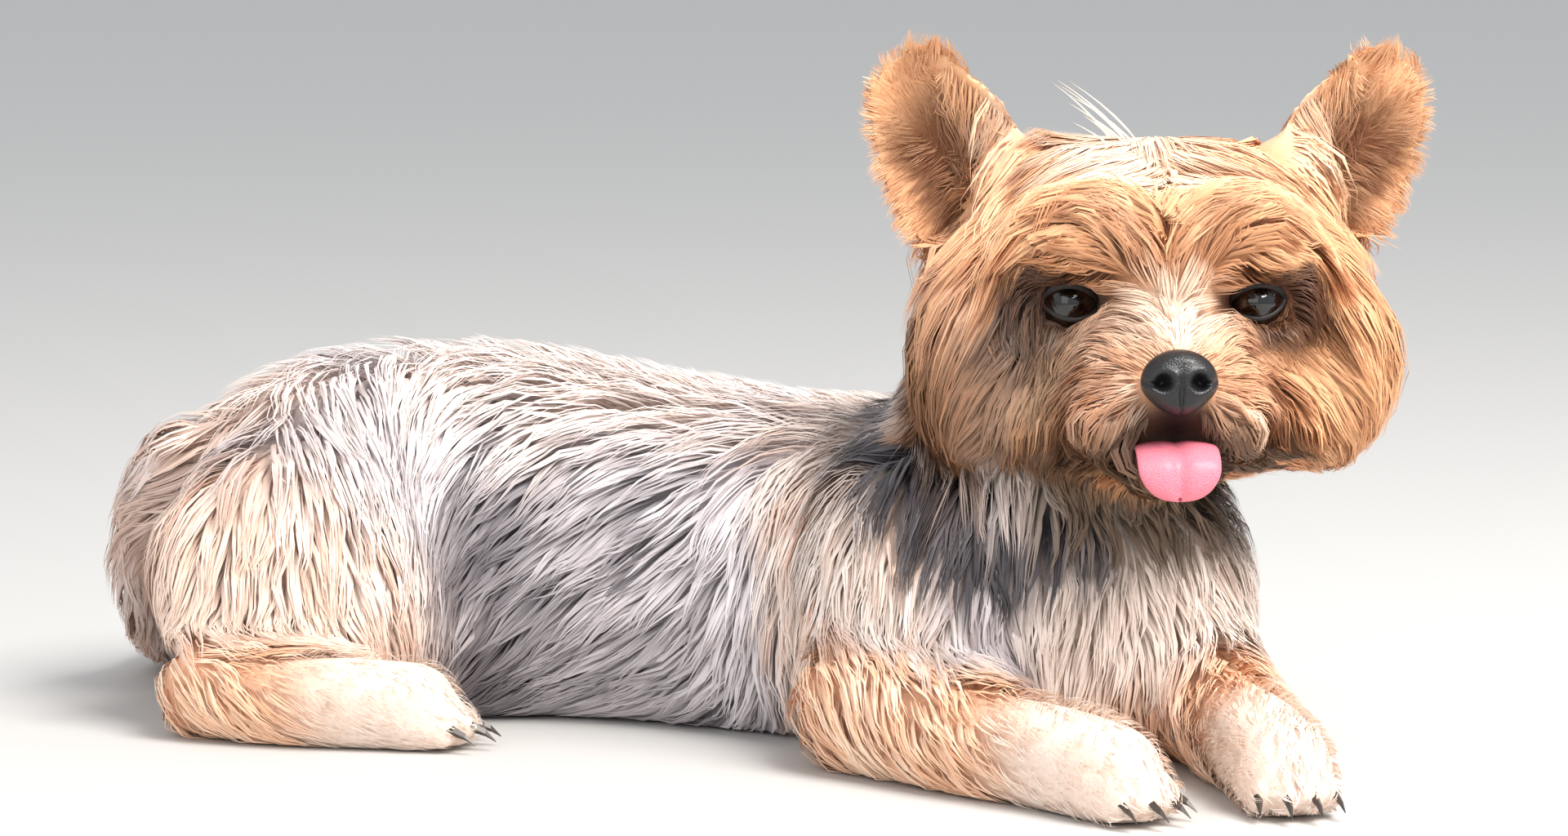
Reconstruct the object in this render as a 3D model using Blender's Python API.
"""Yorkshire terrier lying down with its head turned to its right, life size, as a still model.

Row frame, in metres: +Z up, the floor at Z = 0, the origin on the flat under the ribs.
The rump is at -X and the chest and forepaws at +X; the body bends, so both ends swing to -Y.
The flesh is one smooth body, parted into nodes by thin cuts. Long coat is added as locks.
"""

import math
import random

import bmesh
import bpy
from mathutils import Matrix, Vector
from mathutils.bvhtree import BVHTree

GAP = 0.0003
FLOOR = 0.0

# Trunk stations: x, y, half width, top and bottom of the section.
TRUNK = [
    (-0.166, -0.044, 0.012, 0.070, 0.025),
    (-0.160, -0.040, 0.034, 0.087, 0.006),
    (-0.146, -0.029, 0.046, 0.099, -0.004),
    (-0.126, -0.015, 0.051, 0.105, -0.006),
    (-0.100, 0.000, 0.051, 0.1055, -0.004),
    (-0.070, 0.012, 0.047, 0.102, -0.003),
    (-0.036, 0.0185, 0.048, 0.096, -0.005),
    (-0.005, 0.0195, 0.051, 0.093, -0.006),
    (0.025, 0.0165, 0.053, 0.093, -0.006),
    (0.052, 0.009, 0.055, 0.095, -0.006),
    (0.075, -0.002, 0.056, 0.096, -0.004),
    (0.094, -0.012, 0.055, 0.092, 0.000),
    (0.110, -0.022, 0.045, 0.080, 0.010),
    (0.119, -0.029, 0.018, 0.062, 0.028),
]
TRUNK_SIDES = 28
BELLY_SQUARENESS = 2.4

# Neck, from inside the chest up into the skull: centre and radius.
NECK = [
    ((0.055, 0.008, 0.052), 0.040),
    ((0.082, -0.003, 0.088), 0.043),
    ((0.106, -0.014, 0.118), 0.041),
]

# Head frame: origin in the middle of the skull, +X to the nose, +Y to the dog's left.
SKULL_CENTRE = Vector((0.1165, -0.0166, 0.1239))
HEAD_YAW = math.radians(-62.5)
HEAD_PITCH = math.radians(5)
HEAD = (
    Matrix.Translation(SKULL_CENTRE)
    @ Matrix.Rotation(HEAD_YAW, 4, "Z")
    @ Matrix.Rotation(-HEAD_PITCH, 4, "Y")
)
EYE_CENTRE = Vector((0.0195, 0.0246, 0.0030))
EYE_RADIUS = 0.0075
EYE_OPENING = (0.0066, 0.0045)
LID_RADIUS = 0.0013
NOSE_CENTRE = Vector((0.0575, 0, -0.0170))
NOSE_SEMI = (0.0078, 0.0100, 0.0085)
MOUTH_LINE = [
    (0.018, 0.0235, -0.0290),
    (0.034, 0.0190, -0.0325),
    (0.050, 0.0110, -0.0335),
    (0.0565, 0.0, -0.0320),
]
TONGUE = [
    (0.030, -0.0350),
    (0.042, -0.0345),
    (0.052, -0.0352),
    (0.0575, -0.0385),
    (0.0590, -0.0430),
    (0.0585, -0.0475),
]
TONGUE_HALF_WIDTH, TONGUE_HALF_THICKNESS = 0.0108, 0.0017

# Ears: base on the skull, leaning out, cup to the front.
EAR_BASE = Vector((-0.008, 0.045, 0.029))
EAR_LEAN = math.radians(38)
EAR_TURN = math.radians(16)
EAR_LENGTH, EAR_HALF_WIDTH, EAR_CUP = 0.0455, 0.0215, 0.010

# Forelegs: elbow, wrist and paw centre, with the coat's radius at each.
FORELEG_RIGHT = [
    ((0.044, -0.046, 0.019), 0.021),
    ((0.096, -0.068, 0.015), 0.0165),
    ((0.1313, -0.0822, 0.012), 0.015),
]
FORELEG_LEFT = [
    ((0.112, 0.024, 0.019), 0.021),
    ((0.146, -0.024, 0.015), 0.0165),
    ((0.1676, -0.0543, 0.012), 0.015),
]
PAW_LENGTH, PAW_WIDTH, PAW_HEIGHT = 0.036, 0.031, 0.024
CLAW_LENGTH, CLAW_RADIUS = 0.0070, 0.0013
CLAW_PLAN = ((-0.30, 0.0, 1.0), (0.10, 0.0005, 1.0), (0.60, 0.0020, 0.62), (1.0, 0.0042, 0.12))

# Haunches and the long hind feet that lie along the floor.
HAUNCH_SEMI = (0.048, 0.026, 0.042)
HAUNCH_RIGHT = Vector((-0.1215, -0.0515, 0.044))
HAUNCH_LEFT = Vector((-0.1510, 0.0060, 0.044))
HAUNCH_HEADING, HAUNCH_TILT = math.radians(32), math.radians(14)
FOOT_RIGHT = [
    ((-0.143, -0.080, 0.015), 0.0155),
    ((-0.105, -0.078, 0.0135), 0.0145),
    ((-0.080, -0.070, 0.012), 0.014),
]
FOOT_LEFT = [
    ((-0.171, 0.026, 0.015), 0.0155),
    ((-0.146, 0.050, 0.0135), 0.0145),
    ((-0.124, 0.062, 0.012), 0.014),
]
FEET = {
    "foreleg_left": FORELEG_LEFT,
    "foreleg_right": FORELEG_RIGHT,
    "hindfoot_left": FOOT_LEFT,
    "hindfoot_right": FOOT_RIGHT,
}
TAIL = [
    ((-0.150, -0.034, 0.078), 0.012),
    ((-0.171, -0.042, 0.072), 0.0125),
    ((-0.190, -0.030, 0.044), 0.0120),
    ((-0.203, 0.000, 0.016), 0.0115),
    ((-0.211, 0.030, 0.0115), 0.0110),
    ((-0.207, 0.058, 0.0095), 0.0085),
]

# Coat: depth of hair that stands over the flesh, and the locks of each region.
# Each lock style: spacing of roots, length, half width, half thickness.
# Each step of a lock's plan: share of the length, of the breadth and of the height it rises to.
COAT_DEPTH = 0.0062
ROOT_DEPTH = 0.0032
LOCK_PLAN = (
    (0.0, 0.70, 0.0),
    (0.22, 1.0, 0.42),
    (0.50, 0.92, 0.78),
    (0.78, 0.58, 0.98),
    (1.0, 0.0, 0.92),
)
SHORT_PLAN = (
    (0.0, 0.75, 0.0),
    (0.32, 1.0, 0.55),
    (0.70, 0.70, 0.92),
    (1.0, 0.0, 0.92),
)
STYLES = {
    "head": (0.0200, 0.036, 0.0105, 0.0026),
    "neck": (0.0200, 0.034, 0.0125, 0.0026),
    "chest": (0.0255, 0.048, 0.0155, 0.0029),
    "loin_and_rump": (0.0255, 0.048, 0.0155, 0.0029),
    "thigh_left": (0.0235, 0.038, 0.0135, 0.0027),
    "thigh_right": (0.0235, 0.038, 0.0135, 0.0027),
    "foreleg_left": (0.0265, 0.030, 0.0110, 0.0022),
    "foreleg_right": (0.0265, 0.030, 0.0110, 0.0022),
    "hindfoot_left": (0.0290, 0.030, 0.0105, 0.0020),
    "hindfoot_right": (0.0290, 0.030, 0.0105, 0.0020),
    "tail_root": (0.0215, 0.030, 0.0100, 0.0022),
    "tail_tip": (0.0190, 0.024, 0.0080, 0.0020),
}
# Fans of long locks down each side of the head, from the parting to the jaw:
# turn from the top in degrees, X of the first and last root, count, length, half width.
HEAD_FANS = (
    (7, 0.034, 0.007, 4, 0.070, 0.0100),
    (9, -0.026, -0.040, 2, 0.050, 0.0110),
    (46, 0.020, 0.006, 2, 0.054, 0.0100),
    (60, -0.030, -0.040, 2, 0.044, 0.0110),
    (86, 0.014, -0.030, 4, 0.042, 0.0108),
    (112, 0.022, -0.016, 3, 0.026, 0.0095),
)
# Roots of the moustache, beard and bridge hair on each side: X, Y, Z, length, half width.
FACE_ROOTS = (
    (0.052, 0.012, -0.022, 0.026, 0.0062),
    (0.041, 0.018, -0.017, 0.030, 0.0072),
    (0.030, 0.024, -0.022, 0.028, 0.0080),
    (0.047, 0.006, -0.046, 0.015, 0.0060),
    (0.034, 0.014, -0.046, 0.018, 0.0075),
    (0.045, 0.006, -0.007, 0.022, 0.0052),
)
SHORT_LOCKS = ("foreleg", "hindfoot", "tail")
LOCK_TRIES = 9000
# Ear fringe: share of the ear's half width, height over the cup's plane, share of the sweep or rise.
EAR_RIM_LOCKS, EAR_CUP_LOCKS = 7, 3
EAR_RIM = (
    (0.62, -0.0050, 0.0),
    (0.80, -0.0026, 0.2),
    (0.96, -0.0004, 0.5),
    (1.07, 0.0014, 0.8),
    (1.15, 0.0016, 1.0),
)
EAR_CUP_FRINGE = (
    (-0.86, -0.0044, 0.0),
    (-0.62, -0.0030, 0.002),
    (-0.30, -0.0022, 0.006),
    (0.02, -0.0030, 0.010),
    (0.26, -0.0045, 0.013),
)
# Share of a lock's own facets that stays once the seams of the union are thinned.
SEAM_KEEP = 0.20
SEAM_STEPS = 12
NOSE_TRIANGLES = 480
SEED = 17

CORE_VOXEL = 0.0022
CORE_TRIANGLES = 3000
FACE_DETAIL = 0.006


def clear_scene():
    for obj in list(bpy.data.objects):
        bpy.data.objects.remove(obj)


def material(name, colour, roughness):
    made = bpy.data.materials.new(name)
    made.use_nodes = True
    shader = made.node_tree.nodes["Principled BSDF"]
    shader.inputs["Base Color"].default_value = (*colour, 1)
    shader.inputs["Roughness"].default_value = roughness
    return made


def new_object(name, bm):
    bmesh.ops.recalc_face_normals(bm, faces=bm.faces)
    if bm.calc_volume(signed=True) < 0:
        bmesh.ops.reverse_faces(bm, faces=bm.faces)
    mesh = bpy.data.meshes.new(name)
    bm.to_mesh(mesh)
    bm.free()
    obj = bpy.data.objects.new(name, mesh)
    bpy.context.scene.collection.objects.link(obj)
    return obj


def loft(name, rings, paired=False):
    """A closed skin over rings of equal count, each end drawn in to a pole or closed straight across."""
    bm = bmesh.new()
    loops = [[bm.verts.new(p) for p in ring] for ring in rings]
    for near, far in zip(loops, loops[1:]):
        for i in range(len(near)):
            j = (i + 1) % len(near)
            bm.faces.new((near[i], near[j], far[j], far[i]))
    for loop in (loops[0], loops[-1]):
        if paired:
            for i in range(len(loop) // 2 - 1):
                bm.faces.new((loop[i], loop[i + 1], loop[-2 - i], loop[-1 - i]))
            continue
        pole = bm.verts.new(sum((v.co for v in loop), Vector()) / len(loop))
        for i in range(len(loop)):
            bm.faces.new((loop[i], loop[(i + 1) % len(loop)], pole))
    bmesh.ops.triangulate(bm, faces=bm.faces)
    return new_object(name, bm)


def smooth_points(points, count):
    """Points on a smooth curve through the given tuples, with all their numbers eased alike."""
    made = []
    spans = len(points) - 1
    for k in range(count):
        t = k / (count - 1) * spans
        i = min(int(t), spans - 1)
        u = t - i
        near = [points[max(0, min(spans, i + j))] for j in (-1, 0, 1, 2)]
        made.append(
            tuple(
                0.5
                * (
                    2 * b
                    + (c - a) * u
                    + (2 * a - 5 * b + 4 * c - d) * u**2
                    + (3 * b - a - 3 * c + d) * u**3
                )
                for a, b, c, d in zip(*near)
            )
        )
    return made


def power(value, exponent):
    return math.copysign(abs(value) ** exponent, value)


def trunk():
    """The barrel of the body, with a flattened belly that rests on the floor."""
    stations = smooth_points(TRUNK, 34)
    rings = []
    for i, (x, y, half, top, bottom) in enumerate(stations):
        before, after = stations[max(0, i - 1)], stations[min(len(stations) - 1, i + 1)]
        along = Vector((after[0] - before[0], after[1] - before[1], 0)).normalized()
        side = Vector((-along.y, along.x, 0))
        centre = Vector((x, y, (top + bottom) / 2))
        rise = (top - bottom) / 2
        ring = []
        for k in range(TRUNK_SIDES):
            a = 2 * math.pi * k / TRUNK_SIDES
            across = side * half * power(math.cos(a), 2 / BELLY_SQUARENESS)
            ring.append(centre + across + Vector((0, 0, rise * power(math.sin(a), 2 / BELLY_SQUARENESS))))
        rings.append(ring)
    return loft("trunk", rings)


def limb(name, points, sides=16, count=12):
    """A round limb through centres and radii, with domed ends."""
    stations = smooth_points([(*p, r) for p, r in points], count)
    rings = []
    for i, (x, y, z, r) in enumerate(stations):
        before, after = stations[max(0, i - 1)], stations[min(count - 1, i + 1)]
        along = (Vector(after[:3]) - Vector(before[:3])).normalized()
        side = along.cross(Vector((0.05, 0.02, 1))).normalized()
        up = side.cross(along)
        angles = [2 * math.pi * k / sides for k in range(sides)]
        turns = [side * math.cos(a) + up * math.sin(a) for a in angles]
        shares = [(0, 1)]
        if i == 0:
            shares = [(-0.85, 0.45), (-0.5, 0.85), (0, 1)]
        if i == count - 1:
            shares = [(0, 1), (0.5, 0.85), (0.85, 0.45)]
        for shift, share in shares:
            rings.append([Vector((x, y, z)) + along * shift * r + turn * r * share for turn in turns])
    return loft(name, rings)


def ellipsoid(name, centre, semi, turn=Matrix.Identity(4), segments=24, rings=14):
    """An egg of flesh with the given half sizes; turn carries it to the row frame."""
    bm = bmesh.new()
    bmesh.ops.create_uvsphere(bm, u_segments=segments, v_segments=rings, radius=1)
    bm.transform(turn @ Matrix.Translation(centre) @ Matrix.Diagonal((*semi, 1)))
    bmesh.ops.triangulate(bm, faces=bm.faces)
    return new_object(name, bm)


def apply_modifiers(obj):
    graph = bpy.context.evaluated_depsgraph_get()
    mesh = bpy.data.meshes.new_from_object(obj.evaluated_get(graph))
    obj.modifiers.clear()
    obj.data = mesh


def triangles(obj):
    return sum(len(p.vertices) - 2 for p in obj.data.polygons)


def sound(obj):
    """Whether every edge joins exactly two faces, also once points that nearly touch are one."""
    bm = bmesh.new()
    bm.from_mesh(obj.data)
    whole = all(len(edge.link_faces) == 2 for edge in bm.edges)
    bmesh.ops.remove_doubles(bm, verts=bm.verts, dist=0.00000015)
    whole = whole and all(len(edge.link_faces) == 2 for edge in bm.edges)
    bm.free()
    return whole


def weld(obj, distance=0.00003):
    """Draw points together that a union left a hair apart, where the skin stays closed."""
    full = obj.data.copy()
    bm = bmesh.new()
    bm.from_mesh(obj.data)
    bmesh.ops.remove_doubles(bm, verts=bm.verts, dist=distance)
    bmesh.ops.dissolve_degenerate(bm, dist=distance / 3, edges=bm.edges)
    bmesh.ops.triangulate(bm, faces=bm.faces)
    bm.to_mesh(obj.data)
    bm.free()
    if not sound(obj):
        obj.data = full


def thin_out(obj, count):
    """Collapse the flattest slivers until about this many triangles are left."""
    thin = obj.modifiers.new("thin", "DECIMATE")
    thin.ratio = min(1.0, count / triangles(obj))
    thin.use_collapse_triangulate = True
    apply_modifiers(obj)


def boolean(obj, others, operation):
    """Apply one Boolean of a list of closed meshes to the object, and remove them."""
    group = bpy.data.collections.new("operands")
    for other in others:
        other.hide_render = True
        other.display_type = "WIRE"
        group.objects.link(other)
    modifier = obj.modifiers.new("boolean", "BOOLEAN")
    modifier.operation = operation
    modifier.solver = "MANIFOLD"
    modifier.operand_type = "COLLECTION"
    modifier.collection = group
    apply_modifiers(obj)
    for other in others:
        bpy.data.objects.remove(other)
    bpy.data.collections.remove(group)


def join(name, objects):
    """All the given meshes as one mesh, still overlapping."""
    bm = bmesh.new()
    for obj in objects:
        bm.from_mesh(obj.data)
        bpy.data.objects.remove(obj)
    return new_object(name, bm)


def copy_of(obj, name):
    made = bpy.data.objects.new(name, obj.data.copy())
    bpy.context.scene.collection.objects.link(made)
    return made


def swollen(obj, name, amount):
    """A copy with every point moved out along its normal."""
    made = copy_of(obj, name)
    bm = bmesh.new()
    bm.from_mesh(made.data)
    bm.normal_update()
    moves = [(v, v.normal.copy()) for v in bm.verts]
    for vert, normal in moves:
        vert.co += normal * amount
    bm.to_mesh(made.data)
    bm.free()
    return made


def keep_largest(obj):
    """Leave only the closed surface with the most room inside its bounds."""
    bm = bmesh.new()
    bm.from_mesh(obj.data)
    left = set(bm.faces)
    islands = []
    while left:
        found = {left.pop()}
        front = list(found)
        while front:
            face = front.pop()
            for edge in face.edges:
                for near in edge.link_faces:
                    if near in left:
                        left.remove(near)
                        found.add(near)
                        front.append(near)
        islands.append(found)
    islands.sort(key=len)
    for island in islands[:-1]:
        bmesh.ops.delete(bm, geom=list(island), context="FACES")
    loose = [v for v in bm.verts if not v.link_faces]
    bmesh.ops.delete(bm, geom=loose, context="VERTS")
    bm.to_mesh(obj.data)
    bm.free()


class Cell:
    """A convex prism of space that one node may fill: an outline on XY drawn out along Z."""

    def __init__(self, matrix, outline, low, high):
        self.matrix = matrix
        self.back = matrix.inverted()
        self.outline = outline
        self.low = low
        self.high = high

    def inside(self, point, margin=0.0):
        local = self.back @ point
        if not self.low + margin < local.z < self.high - margin:
            return False
        for a, b in zip(self.outline, self.outline[1:] + self.outline[:1]):
            along = (b - a).normalized()
            if along.x * (local.y - a.y) - along.y * (local.x - a.x) < margin:
                return False
        return True

    def solid(self, grow=0.0):
        count = len(self.outline)
        pushed = []
        for i in range(count):
            a, b, c = self.outline[i - 1], self.outline[i], self.outline[(i + 1) % count]
            first, second = (b - a).normalized(), (c - b).normalized()
            out_first, out_second = Vector((first.y, -first.x)), Vector((second.y, -second.x))
            bisector = (out_first + out_second).normalized()
            pushed.append(b + bisector * grow / max(0.3, bisector.dot(out_first)))
        bm = bmesh.new()
        low = [bm.verts.new(self.matrix @ Vector((p.x, p.y, self.low - grow))) for p in pushed]
        high = [bm.verts.new(self.matrix @ Vector((p.x, p.y, self.high + grow))) for p in pushed]
        bm.faces.new(low[::-1])
        bm.faces.new(high)
        for i in range(count):
            j = (i + 1) % count
            bm.faces.new((low[i], low[j], high[j], high[i]))
        bmesh.ops.triangulate(bm, faces=bm.faces)
        return new_object("cell", bm)


def box_outline(x0, x1, y0, y1):
    return [Vector((x0, y0)), Vector((x1, y0)), Vector((x1, y1)), Vector((x0, y1))]


def ellipse_outline(a, b, count=14):
    angles = [2 * math.pi * k / count for k in range(count)]
    return [Vector((a * math.cos(angle), b * math.sin(angle))) for angle in angles]


def leg_matrix(leg):
    """A frame on the floor at the leg's first point, with +X along the leg."""
    start, end = Vector(leg[0][0]), Vector(leg[-1][0])
    heading = math.atan2(end.y - start.y, end.x - start.x)
    return Matrix.Translation((start.x, start.y, 0)) @ Matrix.Rotation(heading, 4, "Z")


def ear_matrix(side):
    """Frame of an ear: +Z up the ear, +X out of the cup's mouth, +Y across to the outer edge on the left."""
    base = Vector((EAR_BASE.x, side * EAR_BASE.y, EAR_BASE.z))
    lean = Matrix.Rotation(-side * EAR_LEAN, 4, "X")
    turn = Matrix.Rotation(side * EAR_TURN, 4, "Z")
    return HEAD @ Matrix.Translation(base) @ lean @ turn


def plane_frame(point, heading, tilt):
    """A frame whose +Z is tipped forward by the tilt, towards the heading."""
    return Matrix.Translation(point) @ Matrix.Rotation(heading, 4, "Z") @ Matrix.Rotation(tilt, 4, "Y")


def make_cells():
    """Every node's room, in the order in which they take it."""
    haunch = Matrix.Rotation(HAUNCH_HEADING, 4, "Z") @ Matrix.Rotation(math.radians(90), 4, "X")
    right_room = box_outline(-0.024, 0.122, -0.034, 0.019)
    left_room = box_outline(-0.024, 0.122, -0.019, 0.034)
    right_hind = box_outline(-0.020, 0.094, -0.030, 0.016)
    left_hind = box_outline(-0.020, 0.094, -0.016, 0.030)
    round_room = ellipse_outline(0.050, 0.046)
    cells = {
        "ear_left": Cell(ear_matrix(1), box_outline(-0.0190, 0.0070, -0.0275, 0.040), 0.0, 0.075),
        "ear_right": Cell(ear_matrix(-1), box_outline(-0.0190, 0.0070, -0.040, 0.0275), 0.0, 0.075),
        "foreleg_right": Cell(leg_matrix(FORELEG_RIGHT), right_room, 0.0, 0.040),
        "foreleg_left": Cell(leg_matrix(FORELEG_LEFT), left_room, 0.0, 0.040),
        "hindfoot_right": Cell(leg_matrix(FOOT_RIGHT), right_hind, 0.0, 0.0315),
        "hindfoot_left": Cell(leg_matrix(FOOT_LEFT), left_hind, 0.0, 0.0315),
        "tail_tip": Cell(
            Matrix.Identity(4),
            [Vector(p) for p in ((-0.18455, 0.0012), (-0.2025, 0.072), (-0.260, 0.085), (-0.260, -0.024))],
            0.0,
            0.120,
        ),
        "tail_root": Cell(
            Matrix.Identity(4),
            [Vector(p) for p in ((-0.168, -0.064), (-0.2025, 0.072), (-0.260, 0.085), (-0.260, -0.064))],
            0.0,
            0.120,
        ),
        "thigh_right": Cell(Matrix.Translation(HAUNCH_RIGHT) @ haunch, round_room, -0.002, 0.08),
        "thigh_left": Cell(Matrix.Translation(HAUNCH_LEFT) @ haunch, round_room, -0.08, 0.002),
        "head": Cell(
            HEAD @ plane_frame(Vector((0.045, 0, -0.060)), 0, math.radians(24)),
            box_outline(-0.135, 0.100, -0.12, 0.12),
            0.0,
            0.190,
        ),
        "neck": Cell(
            plane_frame(Vector((0.038, 0.012, 0.101)), math.radians(-34), math.radians(31)),
            box_outline(-0.030, 0.160, -0.10, 0.10),
            0.0,
            0.120,
        ),
        "chest": Cell(
            Matrix.Translation((-0.034, 0.0185, 0)) @ Matrix.Rotation(math.radians(4), 4, "Z"),
            box_outline(0.0, 0.300, -0.2, 0.2),
            0.0,
            0.300,
        ),
        "loin_and_rump": Cell(Matrix.Identity(4), box_outline(-0.300, 0.050, -0.2, 0.2), 0.0, 0.300),
    }
    return cells


def head_flesh():
    """Skull, cheeks, muzzle, brow and jaw, in the head frame."""
    pieces = [
        ellipsoid("skull", (-0.006, 0, 0.009), (0.044, 0.050, 0.0420), HEAD),
        ellipsoid("occiput", (-0.024, 0, -0.004), (0.032, 0.040, 0.036), HEAD),
        ellipsoid("jowls", (0.008, 0, -0.025), (0.029, 0.050, 0.021), HEAD),
        ellipsoid("muzzle_root", (0.028, 0, -0.017), (0.022, 0.0255, 0.0165), HEAD),
        ellipsoid("muzzle", (0.042, 0, -0.0195), (0.0165, 0.0175, 0.0130), HEAD),
        ellipsoid("chin", (0.036, 0, -0.0395), (0.0165, 0.0155, 0.0085), HEAD),
        ellipsoid("bridge", (0.034, 0, -0.0085), (0.018, 0.0115, 0.0100), HEAD),
    ]
    for side in (-1, 1):
        pieces.append(ellipsoid("moustache", (0.036, side * 0.015, -0.0275), (0.018, 0.0155, 0.0095), HEAD))
        pieces.append(ellipsoid("brow", (0.022, side * 0.020, 0.0205), (0.0185, 0.022, 0.0120), HEAD))
        pieces.append(ellipsoid("cheek", (-0.002, side * 0.041, -0.010), (0.026, 0.0265, 0.033), HEAD))
    return pieces


def paw(name, leg, scale=1.0):
    """A rounded foot at the end of a leg, pointing along it."""
    before, end = Vector(leg[-2][0]), Vector(leg[-1][0])
    heading = math.atan2(end.y - before.y, end.x - before.x)
    turn = Matrix.Translation((end.x, end.y, 0)) @ Matrix.Rotation(heading, 4, "Z")
    half = Vector((PAW_LENGTH, PAW_WIDTH, PAW_HEIGHT)) * scale / 2
    return ellipsoid(name, (0.002, 0, half.z * 0.82), half, turn)


def shape_face(body):
    """Bring the skin round each eye to the level of its lids, a hollow under the brow."""
    back = HEAD.inverted()
    for vert in body.data.vertices:
        local = back @ vert.co
        if local.x < 0.010:
            continue
        across = (abs(local.y) - EYE_CENTRE.y) / 0.0150
        above = (local.z - EYE_CENTRE.z) / 0.0115
        share = 1 - ease((math.hypot(across, above) - 0.45) / 0.75)
        level = EYE_CENTRE.x + 0.0050 - 0.10 * (abs(local.y) - EYE_CENTRE.y)
        local.x += (level - local.x) * share
        vert.co = HEAD @ local


def whole_body():
    """One smooth closed skin over all the flesh, by voxels, eased and thinned."""
    pieces = [trunk(), limb("neck", NECK, sides=22)]
    pieces += head_flesh()
    for centre in (HAUNCH_RIGHT, HAUNCH_LEFT):
        turn = plane_frame(centre, HAUNCH_HEADING, HAUNCH_TILT)
        pieces.append(ellipsoid("haunch", (0, 0, 0), HAUNCH_SEMI, turn))
    pieces += [limb("leg", leg) for leg in (FORELEG_RIGHT, FORELEG_LEFT, FOOT_RIGHT, FOOT_LEFT)]
    pieces += [paw("paw", leg) for leg in (FORELEG_RIGHT, FORELEG_LEFT)]
    pieces += [paw("paw", leg, 0.95) for leg in (FOOT_RIGHT, FOOT_LEFT)]
    pieces.append(limb("tail", TAIL, count=16))
    for centre, heading in (((0.050, -0.034, 0.046), -25), ((0.095, 0.034, 0.046), -45)):
        turn = Matrix.Translation(centre) @ Matrix.Rotation(math.radians(heading), 4, "Z")
        pieces.append(ellipsoid("shoulder", (0, 0, 0), (0.036, 0.022, 0.043), turn))
    body = join("body", pieces)
    remesh = body.modifiers.new("skin", "REMESH")
    remesh.mode = "VOXEL"
    remesh.voxel_size = CORE_VOXEL
    relax = body.modifiers.new("relax", "SMOOTH")
    relax.factor = 0.5
    relax.iterations = 10
    apply_modifiers(body)
    bm = bmesh.new()
    bm.from_mesh(body.data)
    bm.normal_update()
    moves = [(v, v.normal * coat_depth(v.co)) for v in bm.verts]
    for vert, move in moves:
        vert.co -= move
    bm.to_mesh(body.data)
    bm.free()
    shape_face(body)
    faces = triangles(body)
    face = body.vertex_groups.new(name="plain")
    for vert in body.data.vertices:
        local = HEAD.inverted() @ vert.co
        ahead, within = ease((local.x + 0.004) / 0.02), ease((0.05 - abs(local.y)) / 0.02)
        near = ahead * within * ease((local.z + 0.06) / 0.02)
        face.add([vert.index], 1 - FACE_DETAIL * near, "REPLACE")
    thin = body.modifiers.new("thin", "DECIMATE")
    thin.ratio = min(1.0, CORE_TRIANGLES / faces)
    thin.vertex_group = face.name
    thin.vertex_group_factor = 1.0
    thin.use_collapse_triangulate = True
    apply_modifiers(body)
    return body


def ear(side):
    """A cupped ear of crescent section, broad at the base and rounded at the tip."""
    turn = ear_matrix(side)
    rings = []
    across = 6
    for k in range(9):
        v = k / 8
        height = -0.014 + (EAR_LENGTH + 0.014) * v
        narrow = max(0.0, (v - 0.45) / 0.55)
        belly = 0.86 + 0.14 * math.sin(math.pi * min(1, v / 0.7))
        half = EAR_HALF_WIDTH * belly * (1 - 0.62 * narrow**2.4)
        cup = EAR_CUP * (1 - 0.35 * v)
        thick = 0.0045 - 0.0022 * v
        shift = side * (0.0015 - 0.0060 * v)
        front, rear = [], []
        for i in range(across + 1):
            s = -1 + 2 * i / across
            bowl = 1 - s * s
            front.append(turn @ Vector((-cup * bowl + 0.0012, s * half + shift, height)))
            depth = cup * bowl + thick * (0.35 + 0.65 * bowl) + 0.0004
            rear.append(turn @ Vector((-depth, s * half * 1.03 + shift, height)))
        rings.append(front + rear[::-1])
    return loft("ear", rings, paired=True)


def eyeball(side):
    centre = HEAD @ Vector((EYE_CENTRE.x, side * EYE_CENTRE.y, EYE_CENTRE.z))
    return ellipsoid("eye", centre, (EYE_RADIUS,) * 3, segments=14, rings=9)


def eye_frame(side):
    """Frame of an eye: +X out along its sight, a little outward."""
    centre = Vector((EYE_CENTRE.x, side * EYE_CENTRE.y, EYE_CENTRE.z))
    return HEAD @ Matrix.Translation(centre) @ Matrix.Rotation(side * math.radians(14), 4, "Z")


def almond(angle):
    """The eye opening's outline: wide, with drawn-out corners."""
    return EYE_OPENING[0] * math.cos(angle), EYE_OPENING[1] * power(math.sin(angle), 1.15)


def eye_opening(side):
    """A flaring plug that opens the lids in front of the ball."""
    turn = eye_frame(side)
    rings = []
    for x, share in ((0.0, 0.8), (0.0045, 1.0), (0.009, 1.12), (0.020, 1.9)):
        ring = []
        for k in range(16):
            y, z = almond(2 * math.pi * k / 16)
            ring.append(turn @ Vector((x, y * share, z * share)))
        rings.append(ring)
    return loft("opening", rings)


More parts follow.
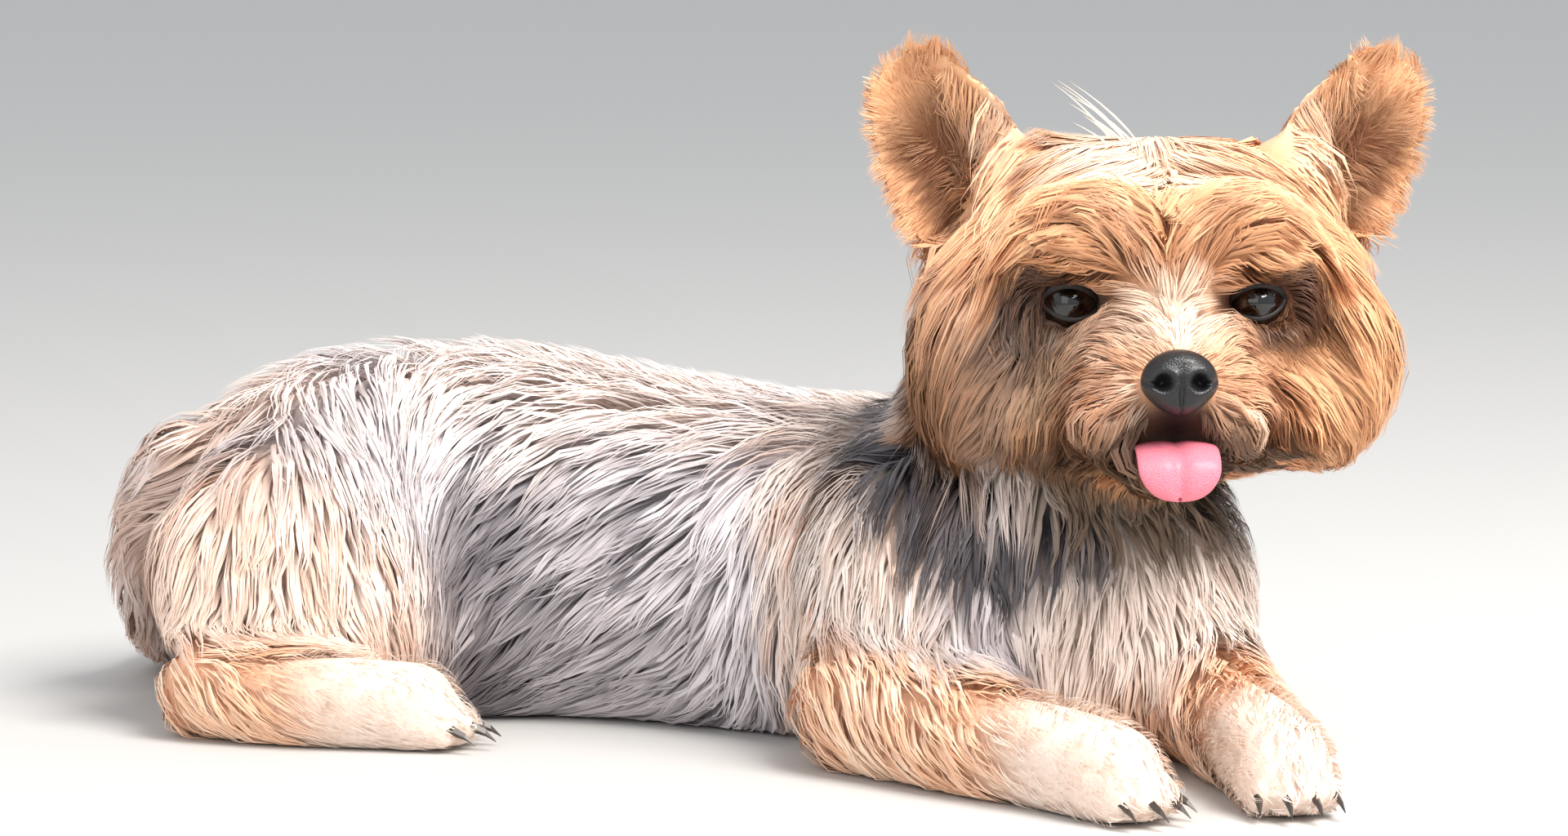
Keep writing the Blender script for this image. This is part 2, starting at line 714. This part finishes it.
def eyelid(side):
    """A rounded rim that follows the ball round the opening."""
    turn = eye_frame(side)
    bm = bmesh.new()
    count, sides = 16, 5
    loops = []
    for k in range(count):
        y, z = almond(2 * math.pi * k / count)
        y, z = y * 1.10, z * 1.14
        x = math.sqrt(max(0, (EYE_RADIUS + 0.0008) ** 2 - y * y - z * z))
        middle = Vector((x, y, z))
        out = Vector((0, y, z)).normalized()
        ahead = Vector((1, 0, 0))
        loops.append(
            [
                bm.verts.new(turn @ (middle + (out * math.cos(a) + ahead * math.sin(a)) * LID_RADIUS))
                for a in (2 * math.pi * i / sides for i in range(sides))
            ]
        )
    for k in range(count):
        near, far = loops[k], loops[(k + 1) % count]
        for i in range(sides):
            j = (i + 1) % sides
            bm.faces.new((near[i], near[j], far[j], far[i]))
    bmesh.ops.triangulate(bm, faces=bm.faces)
    return new_object("lid", bm)


def nose_body(grow=0.0):
    """The nose without its nostrils: broad above, narrower below, grooved in the middle."""
    bm = bmesh.new()
    bmesh.ops.create_uvsphere(bm, u_segments=16, v_segments=10, radius=1)
    for vert in bm.verts:
        p = vert.co
        width = 1.0 - 0.28 * max(0.0, -p.z) ** 1.5
        groove = 0.10 * math.exp(-((p.y / 0.13) ** 2)) * max(0.0, p.x) * (0.35 + 0.65 * max(0.0, 0.5 - p.z))
        if grow:
            groove = 0.0
        vert.co = Vector((power(p.x, 0.82) - groove, p.y * width, p.z * (1 - 0.10 * max(0, p.z))))
    turn = Matrix.Translation(NOSE_CENTRE) @ Matrix.Rotation(math.radians(-8), 4, "Y")
    bm.transform(HEAD @ turn @ Matrix.Diagonal((*(half + grow for half in NOSE_SEMI), 1)))
    bmesh.ops.triangulate(bm, faces=bm.faces)
    return new_object("nose", bm)


def nose_pad():
    """The leather of the nose with two comma nostrils."""
    pad = nose_body()
    holes = []
    for side in (-1, 1):
        outward, leaning = side * math.radians(28), -side * math.radians(24)
        tilt = Matrix.Rotation(outward, 4, "Z") @ Matrix.Rotation(leaning, 4, "X")
        at = HEAD @ Matrix.Translation(NOSE_CENTRE + Vector((0.0062, side * 0.0050, -0.0006))) @ tilt
        holes.append(ellipsoid("nostril", (0, 0, 0), (0.0042, 0.0026, 0.0019), at, 10, 6))
        slit = HEAD @ Matrix.Translation(NOSE_CENTRE + Vector((0.0050, side * 0.0078, -0.0022))) @ tilt
        holes.append(ellipsoid("slit", (0, 0, 0), (0.0036, 0.0030, 0.0009), slit, 8, 5))
    boolean(pad, holes, "DIFFERENCE")
    thin_out(pad, NOSE_TRIANGLES)
    return pad


def tongue():
    """A soft tongue that lies over the lower lip and hangs, creased along the middle."""
    path = smooth_points(TONGUE, 9)
    rings = []
    for i, (x, z) in enumerate(path):
        before, after = path[max(0, i - 1)], path[min(len(path) - 1, i + 1)]
        along = Vector((after[0] - before[0], 0, after[1] - before[1])).normalized()
        up = Vector((-along.z, 0, along.x))
        share = i / (len(path) - 1)
        blunt = max(0.0, share - 0.75) / 0.26
        half = TONGUE_HALF_WIDTH * math.sqrt(max(0.06, 1 - blunt**2))
        ring = []
        for k in range(12):
            a = 2 * math.pi * k / 12
            y, rise = half * math.cos(a), TONGUE_HALF_THICKNESS * math.sin(a)
            if rise > 0:
                rise -= 0.0009 * math.exp(-((y / 0.0022) ** 2))
            ring.append(HEAD @ (Vector((x, y, z)) + up * rise))
        rings.append(ring)
    return loft("tongue", rings)


def mouth_slot():
    """The thin gap between the lips, carved along the mouth line from corner to corner."""
    left = smooth_points(MOUTH_LINE, 7)
    line = left + [(x, -y, z) for x, y, z in left[-2::-1]]
    rings = []
    for i, (x, y, z) in enumerate(line):
        share = abs(i / (len(line) - 1) - 0.5) * 2
        out = Vector((x - 0.020, y, 0)).normalized()
        tall = 0.0016 * (1 - 0.75 * share**3) + 0.0002
        centre = Vector((x, y, z))
        ring = []
        for reach, rise in ((0.006, 0.6), (0.006, -0.6), (-0.009, -1.0), (-0.009, 1.0)):
            ring.append(HEAD @ (centre + out * reach + Vector((0, 0, tall * rise))))
        rings.append(ring)
    return loft("mouth", rings)


def claw(at, heading):
    """One curved claw; its tip stays just off the floor."""
    turn = Matrix.Translation(at) @ Matrix.Rotation(heading, 4, "Z")
    rings = []
    for share, drop, radius in CLAW_PLAN:
        centre = Vector((CLAW_LENGTH * share, 0, -drop))
        ring = []
        for k in range(4):
            a = 2 * math.pi * k / 4
            out = Vector((0, math.cos(a), math.sin(a) * 1.15))
            ring.append(turn @ (centre + out * CLAW_RADIUS * radius))
        rings.append(ring)
    return loft("claw", rings)


def claws(leg):
    """Four claws spread across the front of a foot."""
    before, end = Vector(leg[-2][0]), Vector(leg[-1][0])
    heading = math.atan2(end.y - before.y, end.x - before.x)
    turn = Matrix.Translation((end.x, end.y, 0)) @ Matrix.Rotation(heading, 4, "Z")
    made = []
    for spread, reach in ((-0.0100, 0.0125), (-0.0036, 0.0168), (0.0036, 0.0168), (0.0100, 0.0125)):
        made.append(claw(turn @ Vector((reach, spread, 0.0070)), heading + spread * 18))
    return made


def ease(value):
    value = max(0.0, min(1.0, value))
    return value * value * (3 - 2 * value)


def face_share(local):
    """0 where the hair is long, 1 on the short-haired muzzle and round the eyes; head frame."""
    ahead = ease((local.x - 0.016) / 0.022)
    return ahead * ease((0.034 - abs(local.y)) / 0.016) * ease((0.022 - local.z) / 0.016)


def coat_depth(point):
    """How far the locks' tips stand over the flesh at a point of the skin; nothing where it rests on the floor."""
    local = HEAD.inverted() @ point
    depth = COAT_DEPTH
    if local.z > -0.055 + 0.44 * (0.045 - local.x) and -0.08 < local.x and point.z > 0.07:
        depth *= (1 - 0.72 * face_share(local)) * (1 - 0.32 * ease((local.z - 0.022) / 0.02))
    for leg in (FORELEG_RIGHT, FORELEG_LEFT, FOOT_RIGHT, FOOT_LEFT):
        end = Vector(leg[-1][0])
        reach = (Vector((point.x, point.y, 0)) - Vector((end.x, end.y, 0))).length
        if point.z < 0.034:
            depth = min(depth, 0.0016 + 0.0030 * ease((reach - 0.012) / 0.040))
    return depth * ease((point.z + 0.006) / 0.018)


def trunk_way(point):
    """Rearward direction along the trunk near a point, and the side it is on."""
    best = min(range(len(TRUNK)), key=lambda i: (TRUNK[i][0] - point.x) ** 2 + (TRUNK[i][1] - point.y) ** 2)
    near, far = TRUNK[max(0, best - 1)], TRUNK[min(len(TRUNK) - 1, best + 1)]
    rear = Vector((near[0] - far[0], near[1] - far[1], 0)).normalized()
    left = Vector((rear.y, -rear.x, 0))
    offset = (Vector((point.x, point.y, 0)) - Vector((TRUNK[best][0], TRUNK[best][1], 0))).dot(left)
    return rear, left * (1 if offset > 0 else -1), abs(offset) / max(0.01, TRUNK[best][2])


def lie(name, point):
    """The way the hair lies at a point, in the row frame."""
    down = Vector((0, 0, -1))
    if name == "head":
        local = HEAD.inverted() @ point
        side = 1 if local.y > 0 else -1
        muzzle = face_share(local)
        low = ease((-0.016 - local.z) / 0.018)
        brow = ease((0.040 - abs(local.y)) / 0.012) * ease((local.z + 0.004) / 0.012)
        over_eye = ease(local.x / 0.02) * brow
        outward = 0.18 + 1.0 * ease(local.z / 0.05) + 0.9 * over_eye
        parted = Vector((-0.22 + 0.30 * ease(local.x / 0.03), side * outward, -0.75 + 0.25 * over_eye))
        fanned = Vector((-0.65, side * 0.75, 0.25 - 1.1 * low))
        way = parted.lerp(fanned, muzzle)
        return (HEAD.to_3x3() @ way).normalized()
    if name in ("neck", "chest", "loin_and_rump"):
        rear, side, share = trunk_way(point)
        front = ease((point.x - 0.085) / 0.03) if name == "chest" else 0.0
        if name == "neck":
            return (rear * 0.8 + down * (0.5 + 0.5 * share) + side * 0.3 * share).normalized()
        way = rear * 0.85 + side * 0.25 * (1 - min(1, share)) + down * 0.55 * min(1, share)
        return way.lerp(down, front).normalized()
    if name.startswith("thigh"):
        rear, side, share = trunk_way(point)
        return (rear * 0.75 + down * 0.65).normalized()
    if name.startswith("tail"):
        near = min(range(1, len(TAIL)), key=lambda i: (Vector(TAIL[i][0]) - point).length)
        return (Vector(TAIL[near][0]) - Vector(TAIL[near - 1][0])).normalized()
    leg = FEET[name]
    along = Vector(leg[-1][0]) - Vector(leg[0][0])
    return (along.normalized() * 0.9 + down * 0.35).normalized()


def lock(spine, faces, half_width, half_thick, plan=LOCK_PLAN, twist=0.0):
    """A flat tapered lock round a line of points, each with the way its broad face looks."""
    bm = bmesh.new()
    rings = []
    last = len(spine) - 1
    for i in range(last):
        along = (spine[i + 1] - spine[max(0, i - 1)]).normalized()
        side = along.cross(faces[i]).normalized()
        up = side.cross(along)
        turned = side * math.cos(twist * i) + up * math.sin(twist * i)
        risen = up * math.cos(twist * i) - side * math.sin(twist * i)
        across = turned * half_width * plan[i][1]
        thick = risen * half_thick * (1.0 if i < last - 1 else 0.75)
        rings.append([bm.verts.new(spine[i] + step) for step in (across, thick, -across, -thick)])
    tip = bm.verts.new(spine[last])
    for near, far in zip(rings, rings[1:]):
        for i in range(4):
            j = (i + 1) % 4
            if i % 2:
                bm.faces.new((near[i], near[j], far[i]))
                bm.faces.new((near[j], far[j], far[i]))
            else:
                bm.faces.new((near[i], near[j], far[j]))
                bm.faces.new((near[i], far[j], far[i]))
    for i in range(4):
        bm.faces.new((rings[-1][i], rings[-1][(i + 1) % 4], tip))
    bm.faces.new((rings[0][0], rings[0][1], rings[0][2]))
    bm.faces.new((rings[0][0], rings[0][2], rings[0][3]))
    return new_object("lock", bm)


def free_room(point, name, cells, margin=0.0006):
    """Whether a point lies in the node's own room and clear of the rooms taken before it."""
    if point.z < 0.0012 or not cells[name].inside(point, margin):
        return False
    for other in cells:
        if other == name:
            return True
        if cells[other].inside(point, -margin):
            return False
    return True


def head_roots(tree):
    """The planned roots on the head: fans down both sides, moustache, beard and bridge."""
    found = []
    for side in (-1, 1):
        for turn, first, final, count, length, half_width in HEAD_FANS:
            angle = math.radians(turn)
            for k in range(count):
                x = first + (final - first) * k / (count - 1)
                out = Vector((0, side * math.sin(angle), math.cos(angle)))
                start = HEAD @ (Vector((x, 0, 0)) + out * 0.12)
                hit = tree.ray_cast(start, -(HEAD.to_3x3() @ out))[0]
                if hit:
                    found.append((hit, length, half_width))
        for x, y, z, length, half_width in FACE_ROOTS:
            found.append((tree.find_nearest(HEAD @ Vector((x, side * y, z)))[0], length, half_width))
    return found


def clear_of_face(point):
    """Whether a lock may pass here without crossing an eye, the nose or the mouth."""
    local = HEAD.inverted() @ point
    for side in (-1, 1):
        if (local - Vector((EYE_CENTRE.x + 0.007, side * EYE_CENTRE.y, EYE_CENTRE.z))).length < 0.0115:
            return False
    if (local - NOSE_CENTRE).length < 0.0125:
        return False
    return not (local.x > 0.030 and abs(local.y) < 0.019 and -0.043 < local.z < -0.027)


def body_locks(body, cells, rng):
    """Locks over the whole skin, evenly spread, each rooted in the flesh of its own node."""
    bm = bmesh.new()
    bm.from_mesh(body.data)
    tree = BVHTree.FromBMesh(bm)
    faces = list(bm.faces)
    picks = rng.choices(range(len(faces)), weights=[f.calc_area() for f in faces], k=LOCK_TRIES)
    taken = []
    made = {name: [] for name in cells}
    for root, length, half_width in head_roots(tree):
        name = next((n for n in cells if cells[n].inside(root)), None)
        if name != "head":
            continue
        thick = STYLES[name][3] * (0.45 + 0.55 * min(1.0, half_width / 0.010))
        length *= rng.uniform(0.94, 1.06)
        made_lock = one_lock(tree, root, name, length, half_width, thick, cells, rng)
        if made_lock:
            taken.append((root, 0.8))
            made[name].append(made_lock)
    for pick in picks:
        a, b, c = (v.co for v in faces[pick].verts)
        u, v = sorted((rng.random(), rng.random()))
        root = a * u + b * (v - u) + c * (1 - v)
        if root.z < 0.014 or faces[pick].normal.z < -0.75:
            continue
        name = next((n for n in cells if cells[n].inside(root)), None)
        if name not in STYLES or not free_room(root, name, cells):
            continue
        if name == "loin_and_rump" and root.x < -0.150 and root.z < 0.040:
            continue
        if name == "head" and (HEAD.inverted() @ root).x > -0.006:
            continue
        spacing, length, half_width, half_thick = STYLES[name]
        if any((root - other).length < spacing * near for other, near in taken):
            continue
        size = rng.uniform(0.88, 1.12)
        made_lock = one_lock(tree, root, name, length * size, half_width * size, half_thick, cells, rng)
        if made_lock:
            taken.append((root, 1.0))
            made[name].append(made_lock)
    bm.free()
    return made


def one_lock(tree, root, name, length, half_width, half_thick, cells, rng):
    """Follow the skin along the lie, rising to the coat's depth; shortened where it would leave its room."""
    wave = rng.uniform(-0.35, 0.35)
    curl = rng.choice((-1, 1)) * rng.uniform(0.15, 0.45)
    plan = SHORT_PLAN if name.startswith(SHORT_LOCKS) or length < 0.026 else LOCK_PLAN
    for share in (1.0, 0.85, 0.7, 0.55):
        point = root.copy()
        spine, faces = [], []
        reach = 0.0
        for stop, _, height in plan:
            while reach < stop - 1e-6:
                step = min(0.1, stop - reach)
                reach += step
                way = lie(name, point)
                near, normal, _, _ = tree.find_nearest(point)
                way = (way - normal * way.dot(normal)).normalized()
                side = normal.cross(way)
                way = (way + side * (wave + curl * math.sin(reach * 5.5))).normalized()
                point = tree.find_nearest(near + way * length * share * step)[0]
            near, normal, _, _ = tree.find_nearest(point)
            spine.append(near + normal * (-ROOT_DEPTH + (ROOT_DEPTH + coat_depth(point)) * height))
            faces.append(normal.copy())
        roomy = all(free_room(p, name, cells) for p in spine)
        if roomy and (name != "head" or all(map(clear_of_face, spine))):
            return lock(spine, faces, half_width, half_thick, plan, curl * 0.12)
    return None


def ear_fringe(side, rng):
    """Locks swept round the rim of an ear, and a few combed out over its cup from the inner edge."""
    turn = ear_matrix(side)
    face = (turn.to_3x3() @ Vector((1, 0, 0))).normalized()
    made = []
    for k in range(EAR_RIM_LOCKS):
        share = (k + 0.5) / EAR_RIM_LOCKS
        start = -118 + 236 * share + rng.uniform(-4, 4)
        sweep = (18 if k < EAR_RIM_LOCKS / 2 else -18) + rng.uniform(-5, 5)
        reach = rng.uniform(0.94, 1.04)
        spine = []
        for out, ahead, turned in EAR_RIM:
            angle = math.radians(start + sweep * turned)
            across = side * math.sin(angle) * EAR_HALF_WIDTH * out * reach
            up = EAR_LENGTH * (0.44 + 0.56 * math.cos(angle) * out * reach)
            spine.append(turn @ Vector((ahead, across + side * (0.0015 - 0.0060 * up / EAR_LENGTH), up)))
        made.append(lock(spine, [face] * 5, 0.0088, 0.0017))
    for k in range(EAR_CUP_LOCKS):
        spine = []
        for out, ahead, rise in EAR_CUP_FRINGE:
            height = 0.012 + 0.0095 * k + rise
            spine.append(turn @ Vector((ahead, side * (EAR_HALF_WIDTH * out - 0.001), height)))
        made.append(lock(spine, [face] * 5, 0.0058, 0.0014))
    return made


def cut_to_cell(obj, name, cells):
    """Keep what lies in the node's own room, over the floor and clear of the rooms taken before."""
    boolean(obj, [cells[name].solid()], "INTERSECT")
    ground = Cell(Matrix.Identity(4), box_outline(-0.4, 0.4, -0.3, 0.3), -0.1, FLOOR)
    boolean(obj, [ground.solid()], "DIFFERENCE")
    earlier = list(cells)[: list(cells).index(name)]
    for other in earlier:
        boolean(obj, [cells[other].solid(GAP)], "DIFFERENCE")


def seamed_node(coated, name, plain_count, cells):
    """One node cut from the coated body, with its seams thinned as far as the skin stays closed."""
    added = triangles(coated) - plain_count
    for step in range(SEAM_STEPS):
        node = copy_of(coated, name)
        keep = SEAM_KEEP + (1 - SEAM_KEEP) * step / (SEAM_STEPS - 1)
        thin_out(node, plain_count + added * keep)
        cut_to_cell(node, name, cells)
        keep_largest(node)
        if sound(node) or step == SEAM_STEPS - 1:
            return node
        bpy.data.objects.remove(node)


def build():
    cells = make_cells()
    rng = random.Random(SEED)
    body = whole_body()
    locks = body_locks(body, cells, rng)
    for side, name in ((1, "ear_left"), (-1, "ear_right")):
        boolean(body, [ear(side)], "UNION")
        locks[name] = ear_fringe(side, rng)
    nodes = {}
    for name in cells:
        coated = copy_of(body, name)
        boolean(coated, locks[name], "UNION")
        weld(coated)
        nodes[name] = seamed_node(coated, name, triangles(body), cells)
        bpy.data.objects.remove(coated)
    bpy.data.objects.remove(body)

    for side, name in ((1, "eye_left"), (-1, "eye_right")):
        nodes[name] = eyeball(side)
        nodes[name].name = name
    nodes["nose"] = nose_pad()
    nodes["tongue"] = tongue()
    head = nodes["head"]
    boolean(head, [eyelid(1), eyelid(-1)], "UNION")
    cutters = [eye_opening(1), eye_opening(-1), mouth_slot()]
    cutters += [swollen(nodes[name], "room", GAP) for name in ("eye_left", "eye_right", "tongue")]
    cutters.append(nose_body(GAP))
    for cutter in cutters:
        boolean(head, [cutter], "DIFFERENCE")
    keep_largest(head)

    for name, leg in FEET.items():
        made = claws(leg)
        boolean(nodes[name], [swollen(c, "room", GAP) for c in made], "DIFFERENCE")
        keep_largest(nodes[name])
        for number, c in enumerate(made, 1):
            c.name = f"claw_{name}_{number}"
            nodes[c.name] = c

    tan = material("coat_tan", (0.52, 0.33, 0.19), 0.85)
    steel = material("coat_steel", (0.36, 0.34, 0.34), 0.85)
    leather = material("nose_leather", (0.02, 0.018, 0.018), 0.35)
    wet = material("eye_dark", (0.03, 0.015, 0.01), 0.05)
    flesh = material("tongue_pink", (0.75, 0.32, 0.34), 0.35)
    horn = material("claw_horn", (0.05, 0.045, 0.04), 0.4)
    for name, node in nodes.items():
        kind = steel if name in ("neck", "chest", "loin_and_rump", "tail_root", "tail_tip") else tan
        if name.startswith("eye"):
            kind = wet
        elif name == "nose":
            kind = leather
        elif name == "tongue":
            kind = flesh
        elif name.startswith("claw"):
            kind = horn
        node.data.materials.clear()
        node.data.materials.append(kind)
        node.name = name
        node.data.name = name
        for polygon in node.data.polygons:
            polygon.use_smooth = True
    return nodes


clear_scene()
build()
